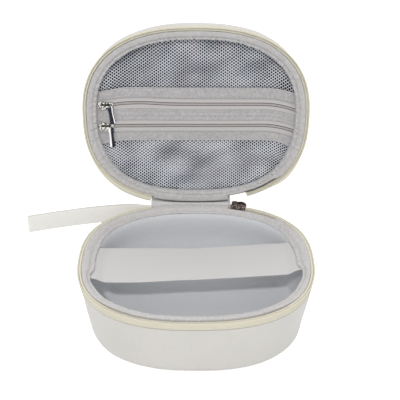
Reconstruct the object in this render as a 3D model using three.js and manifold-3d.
// A hard zip case for a breast pump: an oval moulded tub and a lid on a fabric hinge,
// with a zip round the mouth, a zipped mesh pocket panel in the lid, an elastic strap
// across the tub and a wrist loop. Millimetres, +Z up, -Y is the front. The origin is
// the middle of the tub's flat underside. The lid stands open.
import * as THREE from 'three';
import { mergeVertices } from 'three/addons/utils/BufferGeometryUtils.js';
import Module from 'manifold-3d';

const wasm = await Module();
wasm.setup();

// Outline of the mouth, shared by the tub and the lid
const case_width = 231;
const case_depth = 193;
const outline_power_share = 2.47;
const draft_share = 0.15;

// The two moulded halves
const tub_height = 73.5;
const lid_height = 46;
const tub_corner_radius = 13;
const lid_corner_radius = 20;
const lid_crown = 4;
const crown_shares = [0.28, 0.62];
const shell_wall = 4;
const lining_thickness = 1;
const lid_open_angle = THREE.MathUtils.degToRad(95.3);
const hinge_setback = 0.4;

// One running gap between pieces that lie against each other
const clearance = 0.3;

// Zip round the mouth
const tape_height = 10;
const tape_thickness = 1;
const tape_recess = 0.4;
const coil_width = 1.9;
const coil_height = 3.6;
const coil_pitch = 9.6;
const coil_tooth_step = 1.1;
const mouth_gap = 0.5;

// Padded binding inside each mouth
const binding_reach = 14;
const binding_crest_depth = 0.9;
const binding_crest_width = 3;
const binding_shoulder = 1.2;
const binding_fall = 2.4;

// Fabric hinge at the back
const hinge_left_x = -47.5;
const hinge_right_x = 36.5;
const hinge_sheet = 0.8;

// Elastic strap across the tub
const strap_width = 51;
const strap_thickness = 1.2;
const strap_centre_y = 5;
const strap_skew = 10;

// Pocket panel in the lid, measured across the lid from its middle, towards the hinge
const panel_thickness = 0.9;
const pocket_band_top = -29.5;
const pocket_band_bottom = 28.5;
const upper_zip_y = -11.2;
const lower_zip_y = 12.1;
const pocket_tape_width = 6;
const zip_slit = 1.2;
const pocket_coil_width = 1.6;
const pocket_coil_thickness = 1.2;

// Net of the mesh pockets
const net_thickness = 0.7;
const net_pitch_x = 11.2;
const net_pitch_y = 8.6;
const net_thread = 1.9;
const net_margin = 17;

// Zip sliders, the same form in two sizes
const pocket_slider_length = 16;
const pocket_slider_width = 9;
const main_slider_length = 16;
const main_slider_width = 8.8;
const slider_plate = 1.2;
const slider_clearance = 0.5;
const post_length = 2.2;
const bridge_width = 1.8;
const bridge_height = 3.1;
const bridge_strip = 0.9;
const bridge_reach_share = 0.32;
const tail_share = 0.72;
const shoulder_share = 0.12;
const pocket_slider_inset = 23;
const main_slider_x = 45.5;

// Pull tabs
const pocket_pull_length = 20;
const pocket_pull_width = 5.2;
const main_pull_length = 27;
const main_pull_width = 6.5;
const pull_thickness = 1.1;
const pull_eye_wall = 1.2;
const pull_waist_share = 0.72;

// Wrist loop
const loop_reach = 138;
const loop_width = 20;
const loop_layer = 1.5;
const loop_slot = 1.8;
const loop_sewn_length = 12;
const loop_root_x = -44;
const loop_bow = 17;
const loop_bow_reach = 31;
const loop_end_offset = 6;
const loop_droop = THREE.MathUtils.degToRad(7.5);
const loop_drop = 1.5;

// Facets: stations round the mouth, steps in a moulded corner and along each other curve
const ring_steps = 56;
const corner_steps = 4;
const lining_corner_steps = 3;
const hinge_steps = 10;
const strap_steps = 4;
const panel_steps = 10;
const loop_steps = 8;
const curve_steps = 5;
const measuring_steps = 900;

// Values that follow from the sizes above
const half_width = case_width / 2;
const half_depth = case_depth / 2;
const hinge_y = half_depth + hinge_setback;
const shell_edge_depth = tape_height;
const lining_offset = shell_wall + clearance;
const cover_offset = tape_recess + tape_thickness - 2 * hinge_sheet - clearance;
const panel_depth = shell_edge_depth;
const panel_back_depth = panel_depth + panel_thickness + pocket_coil_thickness;
const lining_inner_offset = lining_offset + lining_thickness;
const panel_inset = wallInset(panel_back_depth) + lining_inner_offset + 2 * clearance;
const pocket_zip_half = zip_slit / 2 + pocket_tape_width;
const coil_bottom = mouth_gap + coil_height;
const coil_face = tape_thickness + clearance + wallInset(coil_bottom) + coil_width;

// The two moulded forms
const tub_form = { place: tubPoint, height: tub_height, radius: tub_corner_radius, crown: 0 };
const lid_form = {
  place: lidPoint,
  height: lid_height,
  radius: lid_corner_radius,
  crown: lid_crown,
};

// A surface leans in by the draft as it leaves the mouth
function wallInset(depth) {
  return draft_share * depth;
}

// Point on the oval outline, drawn in by inset, at a turn angle (0 is +X)
function outlinePoint(angle, inset) {
  const power = 2 / outline_power_share;
  const c = Math.cos(angle);
  const s = Math.sin(angle);
  const x = (half_width - inset) * Math.sign(c) * Math.abs(c) ** power;
  const y = (half_depth - inset) * Math.sign(s) * Math.abs(s) ** power;
  return new THREE.Vector2(x, y);
}

// Turn angle of the outline's back point at a given x
function backAngle(x) {
  const share = Math.sign(x) * (Math.abs(x) / half_width) ** (outline_power_share / 2);
  return Math.acos(share);
}

// Lengths along the outline from start to each of many small steps on the way to end
function walkedLengths(start, end) {
  const lengths = [0];
  let previous = outlinePoint(start, 0);
  for (let i = 1; i <= measuring_steps; i++) {
    const point = outlinePoint(start + ((end - start) * i) / measuring_steps, 0);
    lengths.push(lengths[i - 1] + point.distanceTo(previous));
    previous = point;
  }
  return lengths;
}

// Turn angles from start to end whose points lie at equal steps along the outline
function evenAngles(start, end, steps) {
  const lengths = walkedLengths(start, end);
  const angles = [];
  let k = 0;
  for (let j = 0; j <= steps; j++) {
    const target = (lengths[measuring_steps] * j) / steps;
    while (k < measuring_steps - 1 && lengths[k + 1] < target) {
      k++;
    }
    const part = (target - lengths[k]) / (lengths[k + 1] - lengths[k]);
    angles.push(start + ((end - start) * (k + part)) / measuring_steps);
  }
  return angles;
}

// A point of the tub or of the closed lid: inset from the outline, depth from the mouth.
// The lid is built about the hinge line, so its points are measured from there.
function tubPoint(angle, inset, depth) {
  const p = outlinePoint(angle, inset);
  return new THREE.Vector3(p.x, p.y, tub_height - depth);
}

function lidPoint(angle, inset, depth) {
  const p = outlinePoint(angle, inset);
  return new THREE.Vector3(p.x, p.y - hinge_y, depth);
}

// A closed solid from points and triangles, turned so that its faces point out
function solidFrom(points, triangles) {
  let volume = 0;
  for (const [a, b, c] of triangles) {
    volume += points[a].dot(new THREE.Vector3().crossVectors(points[b], points[c]));
  }
  const order = volume < 0 ? [0, 2, 1] : [0, 1, 2];
  const geometry = new THREE.BufferGeometry();
  const positions = points.flatMap((p) => [p.x, p.y, p.z]);
  geometry.setAttribute('position', new THREE.Float32BufferAttribute(positions, 3));
  geometry.setIndex(triangles.flatMap((t) => order.map((k) => t[k])));
  return geometry;
}

// Two triangles for each cell between two rows of points
function bridgeRows(triangles, first, second, count, closed) {
  const last = closed ? count : count - 1;
  for (let i = 0; i < last; i++) {
    const j = (i + 1) % count;
    triangles.push([first + i, first + j, second + j]);
    triangles.push([first + i, second + j, second + i]);
  }
}

// Sweep of one convex section through stations, as a full ring or with flat ends
function sweep(sections, closed) {
  const points = sections.flat();
  const size = sections[0].length;
  const triangles = [];
  const last = closed ? sections.length : sections.length - 1;
  for (let i = 0; i < last; i++) {
    bridgeRows(triangles, i * size, ((i + 1) % sections.length) * size, size, true);
  }
  if (!closed) {
    const end = (sections.length - 1) * size;
    for (let k = 1; k < size - 1; k++) {
      triangles.push([0, k + 1, k]);
      triangles.push([end, end + k, end + k + 1]);
    }
  }
  return solidFrom(points, triangles);
}

// A tub-like solid: rings from the outer middle round the edge to the inner middle
function cupSolid(rings, outer_middle, inner_middle) {
  const count = rings[0].length;
  const points = [...rings.flat(), outer_middle, inner_middle];
  const triangles = [];
  for (let i = 0; i < rings.length - 1; i++) {
    bridgeRows(triangles, i * count, (i + 1) * count, count, true);
  }
  const outer = rings.length * count;
  const last = (rings.length - 1) * count;
  for (let i = 0; i < count; i++) {
    const j = (i + 1) % count;
    triangles.push([outer, j, i]);
    triangles.push([outer + 1, last + i, last + j]);
  }
  return solidFrom(points, triangles);
}

// Flat sheet solid between two rows of rows: top[i][j] and bottom[i][j]
function sheetSolid(top, bottom) {
  const rows = top.length;
  const cols = top[0].length;
  const points = [...top.flat(), ...bottom.flat()];
  const under = rows * cols;
  const triangles = [];
  for (let i = 0; i < rows - 1; i++) {
    bridgeRows(triangles, i * cols, (i + 1) * cols, cols, false);
    bridgeRows(triangles, under + (i + 1) * cols, under + i * cols, cols, false);
  }
  const edge = [];
  for (let j = 0; j < cols - 1; j++) {
    edge.push(j);
  }
  for (let i = 0; i < rows - 1; i++) {
    edge.push(i * cols + cols - 1);
  }
  for (let j = cols - 1; j > 0; j--) {
    edge.push((rows - 1) * cols + j);
  }
  for (let i = rows - 1; i > 0; i--) {
    edge.push(i * cols);
  }
  for (let k = 0; k < edge.length; k++) {
    const a = edge[k];
    const b = edge[(k + 1) % edge.length];
    triangles.push([a, under + a, under + b]);
    triangles.push([a, under + b, b]);
  }
  return solidFrom(points, triangles);
}

// Joins closed geometries into one solid
function join(geometries) {
  const parts = geometries.map((geometry) => {
    const bare = geometry.clone();
    bare.deleteAttribute('normal');
    bare.deleteAttribute('uv');
    const merged = mergeVertices(bare);
    const mesh = new wasm.Mesh({
      numProp: 3,
      vertProperties: new Float32Array(merged.attributes.position.array),
      triVerts: new Uint32Array(merged.index.array),
    });
    return new wasm.Manifold(mesh);
  });
  const whole = parts.reduce((sum, part) => sum.add(part));
  const result = whole.getMesh();
  const geometry = new THREE.BufferGeometry();
  geometry.setAttribute('position', new THREE.Float32BufferAttribute(result.vertProperties, 3));
  geometry.setIndex([...result.triVerts]);
  return geometry;
}

function finish(color, roughness, metalness) {
  return new THREE.MeshStandardMaterial({ color, roughness, metalness });
}

const looks = {
  leather: [0xdedbd3, 0.5, 0],
  tape: [0xddd6c0, 0.8, 0],
  coil: [0xc4bba8, 0.6, 0],
  lining: [0xacadb1, 0.75, 0],
  jersey: [0xbcb9ba, 0.9, 0],
  elastic: [0xc9c7c5, 0.8, 0],
  net: [0xc2bfc0, 0.85, 0],
  band: [0xbcb8b9, 0.85, 0],
  chrome: [0xb8b8ba, 0.2, 1],
  gunmetal: [0x6f6862, 0.35, 1],
};

function piece(name, geometry, look) {
  const mesh = new THREE.Mesh(geometry, finish(...looks[look]));
  mesh.name = name;
  return mesh;
}

// Rings of one moulded surface, from the shell edge to the flat, as [inset, depth]
function mouldedProfile(form, offset, steps) {
  const wall_end = form.height - form.crown - form.radius;
  const round = form.radius - offset;
  const profile = [[wallInset(shell_edge_depth) + offset, shell_edge_depth]];
  for (let i = 0; i <= steps; i++) {
    const turn = (Math.PI / 2) * (i / steps);
    const inset = wallInset(wall_end) + offset + round * (1 - Math.cos(turn));
    profile.push([inset, wall_end + round * Math.sin(turn)]);
  }
  return form.crown > 0 ? [...profile, ...crownRings(profile, form.crown)] : profile;
}

// More rings, each further in, that dome the flat of the lid
function crownRings(profile, crown) {
  const [edge_inset, edge_depth] = profile[profile.length - 1];
  const reach = half_depth - edge_inset;
  return crown_shares.map((share) => {
    const rise = crown * (1 - (1 - share) ** 2);
    return [edge_inset + reach * share, edge_depth + rise];
  });
}

// A moulded half between two offsets from its outer surface
function mouldedHalf(form, outer_offset, inner_offset, steps) {
  const angles = evenAngles(0, 2 * Math.PI, ring_steps).slice(0, ring_steps);
  const outer = mouldedProfile(form, outer_offset, steps);
  const inner = mouldedProfile(form, inner_offset, steps);
  const rings = [...outer.reverse(), ...inner].map(([inset, depth]) =>
    angles.map((angle) => form.place(angle, inset, depth)),
  );
  const middle = (offset) => form.place(Math.PI / 2, half_depth, form.height - offset).setX(0);
  return cupSolid(rings, middle(outer_offset), middle(inner_offset));
}

// Padded jersey binding: a soft roll that covers the shell edge and fills the mouth inside
// the zip. It starts on a ledge below the slider, rises to its crest and falls inward.
function bindingSection() {
  const base_depth = shell_edge_depth - clearance;
  const ledge_depth = main_slider_width / 2 + slider_clearance;
  const outer = (depth) => tape_recess + tape_thickness + wallInset(depth) + clearance;
  const rise = coil_face + slider_plate + 3 * slider_clearance;
  const crest_start = rise + binding_shoulder;
  const crest_end = crest_start + binding_crest_width;
  return [
    [outer(base_depth), base_depth],
    [outer(ledge_depth), ledge_depth + clearance],
    [rise, ledge_depth],
    [rise, binding_crest_depth + binding_shoulder],
    [crest_start, binding_crest_depth],
    [crest_end, binding_crest_depth],
    [binding_reach - clearance, binding_crest_depth + binding_fall],
    [binding_reach, base_depth - clearance],
    [binding_reach - binding_fall, base_depth],
  ];
}

function binding(place) {
  const angles = evenAngles(0, 2 * Math.PI, ring_steps).slice(0, ring_steps);
  const section = bindingSection();
  return sweep(
    angles.map((angle) => section.map(([inset, depth]) => place(angle, inset, depth))),
    true,
  );
}

// A zip starts right of the hinge and runs round the front to the hinge's left end
function zipEnd() {
  return backAngle(hinge_left_x - clearance) - 2 * Math.PI;
}

function zipTape(place, start_x) {
  const low = shell_edge_depth - clearance;
  const corners = [
    [0, mouth_gap],
    [tape_thickness, mouth_gap],
    [tape_thickness, low],
    [0, low],
  ];
  const sections = evenAngles(backAngle(start_x), zipEnd(), ring_steps).map((angle) =>
    corners.map(([across, depth]) => place(angle, tape_recess + wallInset(depth) + across, depth)),
  );
  return sweep(sections, false);
}

// Row of teeth on the inner face of the tape, each tooth a step up from the gap beside it
function zipCoil(place, start_x) {
  const start = backAngle(start_x);
  const end = zipEnd();
  const teeth = Math.round(walkedLengths(start, end)[measuring_steps] / coil_pitch);
  const far = tape_recess + coil_face;
  const near = far - coil_width;
  const sections = evenAngles(start, end, teeth * 2).map((angle, i) => {
    const top = mouth_gap + (i % 2 === 0 ? 0 : coil_tooth_step);
    return [
      place(angle, near, top),
      place(angle, far, top),
      place(angle, far, coil_bottom),
      place(angle, near, coil_bottom),
    ];
  });
  return sweep(sections, false);
}

// Hinge sheet from the tub's shell edge over the fold to the lid's shell edge
function hingeSheet(offset) {
  const angles = evenAngles(backAngle(hinge_right_x), backAngle(hinge_left_x), hinge_steps);
  const lid_turn = new THREE.Matrix4().makeRotationX(-lid_open_angle);
  lid_turn.setPosition(0, hinge_y, tub_height);
  const low = shell_edge_depth - clearance;
  const depth_steps = [low, low / 2, mouth_gap];
  const surface = (inset_offset) =>
    angles.map((angle) => {
      const inset = (depth) => inset_offset + wallInset(depth);
      const tub_side = depth_steps.map((depth) => tubPoint(angle, inset(depth), depth));
      const lid_side = depth_steps
        .map((depth) => lidPoint(angle, inset(depth), depth).applyMatrix4(lid_turn))
        .reverse();
      return [...tub_side, ...lid_side];
    });
  return sheetSolid(surface(offset), surface(offset + hinge_sheet));
}

// Elastic strap from wall to wall, just under the binding's lower edge. It is sewn in
// straight on the left and a little further back on the right.
function elasticStrap() {
  const depth = shell_edge_depth + clearance;
  const reach_inset = wallInset(depth) + lining_inner_offset + 2 * clearance;
  const stations = Array.from({ length: strap_steps + 1 }, (_, i) => i / strap_steps);
  const rows = (z) =>
    stations.map((across_part) =>
      stations.map((along_part) => {
        const along = 2 * along_part - 1;
        const straight_y = strap_centre_y + strap_width * (across_part - 0.5);
        const y = straight_y + strap_skew * Math.max(0, along);
        const rest = 1 - (Math.abs(y) / (half_depth - reach_inset)) ** outline_power_share;
        const reach = (half_width - reach_inset) * rest ** (1 / outline_power_share);
        return new THREE.Vector3(reach * along, y, z);
      }),
    );
  const top = tub_height - depth;
  return sheetSolid(rows(top), rows(top - strap_thickness));
}

// Turn angle of the panel's outline at a distance y from the middle of the lid
function panelAngle(y) {
  const reach_share = Math.abs(y) / (half_depth - panel_inset);
  return Math.asin(Math.sign(y) * Math.min(1, reach_share) ** (outline_power_share / 2));
}

// Outline of a slice of the pocket panel between two edges
function panelShape(from_y, to_y) {
  const start = panelAngle(from_y);
  const end = panelAngle(to_y);
  const height = outlinePoint(end, panel_inset).y - outlinePoint(start, panel_inset).y;
  const steps = Math.max(2, Math.ceil((height / (half_depth - panel_inset)) * panel_steps));
  const right = evenAngles(start, end, steps).map((angle) => outlinePoint(angle, panel_inset));
  const left = right.map((p) => new THREE.Vector2(-p.x, p.y)).reverse();
  const apart = (p, i, all) => p.distanceTo(all[(i + 1) % all.length]) > clearance;
  return new THREE.Shape([...right, ...left].filter(apart));
}

function extrude(shape, depth) {
  return new THREE.ExtrudeGeometry(shape, {
    depth,
    bevelEnabled: false,
    curveSegments: curve_steps,
  });
}

function panelStrip(from_y, to_y) {
  return extrude(panelShape(from_y, to_y), panel_thickness);
}

// Net: a slice of the panel with staggered diamond gaps
function netPanel(from_y, to_y) {
  const shape = panelShape(from_y, to_y);
  const rows = Math.ceil(case_depth / net_pitch_y) * 2;
  const cols = Math.ceil(case_width / net_pitch_x);
  const half_gap_x = (net_pitch_x - net_thread) / 2;
  const half_gap_y = (net_pitch_y - net_thread) / 2;
  for (let r = -rows; r <= rows; r++) {
    const y = (r * net_pitch_y) / 2;
    const shift = r % 2 === 0 ? 0 : net_pitch_x / 2;
    for (let c = -cols; c <= cols; c++) {
      const x = c * net_pitch_x + shift;
      const wide = (Math.abs(x) + half_gap_x) / (half_width - net_margin);
      const tall = (Math.abs(y) + half_gap_y) / (half_depth - net_margin);
      const inside = wide ** outline_power_share + tall ** outline_power_share < 1;
      if (!inside || y - half_gap_y < from_y + net_thread || y + half_gap_y > to_y - net_thread) {
        continue;
      }
      const gap = new THREE.Path();
      gap.moveTo(x - half_gap_x, y);
      gap.lineTo(x, y - half_gap_y);
      gap.lineTo(x + half_gap_x, y);
      gap.lineTo(x, y + half_gap_y);
      gap.closePath();
      shape.holes.push(gap);
    }
  }
  return extrude(shape, net_thickness);
}

// One side of a pocket zip: its tape, with the coil as a rib behind the slit edge
function pocketZipSide(zip_y, side) {
  const edge = zip_y + (side * zip_slit) / 2;
  const strip = (width) => {
    const far = edge + side * width;
    return panelShape(Math.min(edge, far), Math.max(edge, far));
  };
  const tape = extrude(strip(pocket_tape_width), panel_thickness);
  const coil = extrude(strip(pocket_coil_width), pocket_coil_thickness + clearance);
  coil.translate(0, 0, panel_thickness - clearance);
  return join([tape, coil]);
}

// Slider plate seen from the front: round nose at -X, drawn-in waist, narrower tail
function platePlan(length, width) {
  const nose = width / 2;
  const tail = nose * tail_share;
  const shoulder = length * shoulder_share;
  const shape = new THREE.Shape();
  shape.moveTo(length / 2, tail);
  shape.quadraticCurveTo(0, tail, -shoulder, nose);
  shape.quadraticCurveTo(-length / 2, nose, -length / 2, 0);
  shape.quadraticCurveTo(-length / 2, -nose, -shoulder, -nose);
  shape.quadraticCurveTo(0, -tail, length / 2, -tail);
  shape.closePath();
  return shape;
}

// Zip slider: a front and a back plate, the post between them and the bridge for the pull.
// The plates face each other across the throat, and the post runs in the slit between the
// two tapes; z = 0 is the front plate's back face.
function sliderBody(length, width, throat, slit) {
  const front = extrude(platePlan(length, width), slider_plate);
  const back = extrude(platePlan(length, width), slider_plate);
  back.translate(0, 0, -throat - slider_plate);
  const post = new THREE.BoxGeometry(post_length, slit - 2 * clearance, throat + slider_plate);
  post.translate(post_length - length / 2, 0, -throat / 2);
  const arch = new THREE.Shape();
  const reach = length * bridge_reach_share;
  arch.moveTo(-reach, 0);
  arch.lineTo(-reach, bridge_height - bridge_strip);
  arch.quadraticCurveTo(-reach, bridge_height, -reach + bridge_strip, bridge_height);
  arch.lineTo(reach - bridge_strip, bridge_height);
  arch.quadraticCurveTo(reach, bridge_height, reach, bridge_height - bridge_strip);
  arch.lineTo(reach, 0);
  arch.lineTo(reach - bridge_strip, 0);
  arch.lineTo(reach - bridge_strip, bridge_height - bridge_strip);
  arch.lineTo(-reach + bridge_strip, bridge_height - bridge_strip);
  arch.lineTo(-reach + bridge_strip, 0);
  arch.closePath();
  const bridge = extrude(arch, bridge_width);
  bridge.rotateX(Math.PI / 2);
  bridge.translate(0, bridge_width / 2, slider_plate - clearance);
  return join([front, back, post, bridge]);
}

// Round hole about the origin, as a path of straight facets
function roundHole(radius) {
  const facets = 2 * curve_steps;
  const points = Array.from({ length: facets }, (_, i) => {
    const turn = (2 * Math.PI * i) / facets;
    return new THREE.Vector2(radius * Math.cos(turn), radius * Math.sin(turn));
  });
  return new THREE.Path(points);
}

// Middle of the bridge's leg, where the pull's eye goes round it
function pullAnchor(length) {
  return length * bridge_reach_share - bridge_strip / 2;
}

// Pull tab that hangs from the bridge's leg at the origin, towards -Y
function pullTab(length, width) {
  const half = width / 2;
  const waist = half * pull_waist_share;
  const shape = new THREE.Shape();
  shape.moveTo(-half, 0);
  shape.quadraticCurveTo(-half, half, 0, half);
  shape.quadraticCurveTo(half, half, half, 0);
  shape.lineTo(waist, -width);
  shape.lineTo(half, -length + half);
  shape.quadraticCurveTo(half, -length, 0, -length);
  shape.quadraticCurveTo(-half, -length, -half, -length + half);
  shape.lineTo(-waist, -width);
  shape.closePath();
  shape.holes.push(roundHole(half - pull_eye_wall));
  return extrude(shape, pull_thickness);
}

// Middle line of the wrist loop seen from above: it bows out behind the case
function loopLine() {
  const root = new THREE.Vector2(0, 0);
  const bow = new THREE.Vector2(-loop_bow_reach, loop_bow);
  const end = new THREE.Vector2(-loop_reach, loop_end_offset);
  return new THREE.QuadraticBezierCurve(root, bow, end);
}

// Points beside the middle line, from one share of its length to another
function besideLine(line, from_share, to_share, offset) {
  return Array.from({ length: loop_steps + 1 }, (_, i) => {
    const share = from_share + ((to_share - from_share) * i) / loop_steps;
    const tangent = line.getTangentAt(share);
    const point = line.getPointAt(share);
    const normal = new THREE.Vector2(-tangent.y, tangent.x);
    return point.addScaledVector(normal, offset(share));
  });
}

// Flat wrist loop: one band folded at its free end and sewn together at its root
function wristLoop() {
  const line = loopLine();
  const sewn_share = loop_sewn_length / line.getLength();
  const slot_end_share = 1 - loop_layer / line.getLength();
  const spread = (share) => THREE.MathUtils.smoothstep(share, sewn_share, 2 * sewn_share);
  const opening = (share) => (loop_slot / 2) * spread(share);
  const outer = (share) => loop_layer + opening(share);
  const shape = new THREE.Shape([
    ...besideLine(line, 0, 1, outer),
    ...besideLine(line, 1, 0, (share) => -outer(share)),
  ]);
  const slot = [
    ...besideLine(line, sewn_share, slot_end_share, (share) => -opening(share)),
    ...besideLine(line, slot_end_share, sewn_share, opening).slice(0, -1),
  ];
  shape.holes.push(new THREE.Path(slot));
  return extrude(shape, loop_width);
}

function tubPieces() {
  const group = new THREE.Group();
  const zip_start = hinge_right_x + clearance;
  const shell = mouldedHalf(tub_form, 0, shell_wall, corner_steps);
  const lining = mouldedHalf(tub_form, lining_offset, lining_inner_offset, lining_corner_steps);
  group.add(
    piece('base_shell', shell, 'leather'),
    piece('base_lining', lining, 'lining'),
    piece('base_binding', binding(tubPoint), 'jersey'),
    piece('base_zip_tape', zipTape(tubPoint, zip_start), 'tape'),
    piece('base_zip_coil', zipCoil(tubPoint, zip_start), 'coil'),
    piece('elastic_strap', elasticStrap(), 'elastic'),
    piece('hinge_cover', hingeSheet(cover_offset), 'leather'),
    piece('hinge_tape', hingeSheet(cover_offset + hinge_sheet + clearance), 'jersey'),
  );
  return group;
}

// Slider and pull of a pocket zip, on the front of the panel
function pocketSlider(name, zip_y) {
  const group = new THREE.Group();
  const throat = panel_thickness + pocket_coil_thickness + 2 * slider_clearance;
  const body = sliderBody(pocket_slider_length, pocket_slider_width, throat, zip_slit);
  group.add(piece(`${name}_slider`, body, 'chrome'));
  const pull = piece(`${name}_pull`, pullTab(pocket_pull_length, pocket_pull_width), 'chrome');
  pull.position.set(pullAnchor(pocket_slider_length), 0, slider_plate + clearance);
  group.add(pull);
  group.rotation.x = Math.PI;
  const parked_x = pocket_slider_inset - half_width;
  group.position.set(parked_x, zip_y - hinge_y, panel_depth - slider_clearance);
  return group;
}

// The pocket panel: nets above and below, cloth strips between, and two zips
function pocketPanel() {
  const panel = new THREE.Group();
  const to_strip = pocket_zip_half + clearance;
  const top_strip = panelStrip(pocket_band_top, upper_zip_y - to_strip);
  const middle_strip = panelStrip(upper_zip_y + to_strip, lower_zip_y - to_strip);
  const bottom_strip = panelStrip(lower_zip_y + to_strip, pocket_band_bottom);
  panel.add(
    piece('mesh_upper', netPanel(-half_depth, pocket_band_top - clearance), 'net'),
    piece('mesh_lower', netPanel(pocket_band_bottom + clearance, half_depth), 'net'),
    piece('pocket_band_top', top_strip, 'band'),
    piece('pocket_band_middle', middle_strip, 'band'),
    piece('pocket_band_bottom', bottom_strip, 'band'),
    piece('upper_zip_outer_side', pocketZipSide(upper_zip_y, -1), 'band'),
    piece('upper_zip_inner_side', pocketZipSide(upper_zip_y, 1), 'band'),
    piece('lower_zip_outer_side', pocketZipSide(lower_zip_y, -1), 'band'),
    piece('lower_zip_inner_side', pocketZipSide(lower_zip_y, 1), 'band'),
  );
  panel.position.set(0, -hinge_y, panel_depth);
  return panel;
}

// The lid, turned open about the hinge line. Its zip starts just past the parked slider.
function lidPieces() {
  const group = new THREE.Group();
  const zip_start = main_slider_x + main_slider_length / 2 + 2 * slider_clearance;
  const shell = mouldedHalf(lid_form, 0, shell_wall, corner_steps);
  const lining = mouldedHalf(lid_form, lining_offset, lining_inner_offset, lining_corner_steps);
  group.add(
    piece('lid_shell', shell, 'leather'),
    piece('lid_lining', lining, 'lining'),
    piece('lid_binding', binding(lidPoint), 'jersey'),
    piece('lid_zip_tape', zipTape(lidPoint, zip_start), 'tape'),
    piece('lid_zip_coil', zipCoil(lidPoint, zip_start), 'coil'),
    pocketPanel(),
    pocketSlider('upper', upper_zip_y),
    pocketSlider('lower', lower_zip_y),
  );
  group.position.set(0, hinge_y, tub_height);
  group.rotation.x = -lid_open_angle;
  return group;
}

// Main slider at the end of its track, right of the hinge, with the pull hanging outside
function mainSlider() {
  const at = outlinePoint(backAngle(main_slider_x), 0);
  const behind = outlinePoint(backAngle(main_slider_x - main_slider_length / 2), 0);
  const ahead = outlinePoint(backAngle(main_slider_x + main_slider_length / 2), 0);
  const throat = coil_face + 2 * slider_clearance;
  const body = sliderBody(main_slider_length, main_slider_width, throat, 2 * mouth_gap);
  const pull = piece('main_pull', pullTab(main_pull_length, main_pull_width), 'gunmetal');
  pull.position.set(pullAnchor(main_slider_length), 0, slider_plate + clearance);
  const group = new THREE.Group();
  group.add(piece('main_slider', body, 'gunmetal'), pull);
  group.position.y = slider_clearance - tape_recess;
  group.rotation.set(Math.PI / 2, Math.PI, 0);
  const facing = new THREE.Group();
  facing.rotation.z = ahead.sub(behind).angle();
  facing.position.set(at.x, at.y, tub_height);
  facing.add(group);
  return facing;
}

// The wrist loop, sewn on at the left end of the hinge. It droops, so its upper corner
// lies further left than its root and comes nearest to the hinge cover.
function wristStrap() {
  const corner_x = loop_root_x - loop_width * Math.sin(loop_droop);
  const seam = outlinePoint(backAngle(corner_x), cover_offset + wallInset(loop_drop));
  const half_root = loop_layer * Math.cos(Math.atan2(loop_bow, loop_bow_reach));
  const strap = piece('wrist_strap', wristLoop(), 'leather');
  strap.rotation.y = -loop_droop;
  strap.position.set(loop_root_x, seam.y + clearance + half_root, tub_height - loop_drop - loop_width);
  return strap;
}

const breast_pump_case = new THREE.Group();
breast_pump_case.add(tubPieces(), lidPieces(), mainSlider(), wristStrap());

export default breast_pump_case;
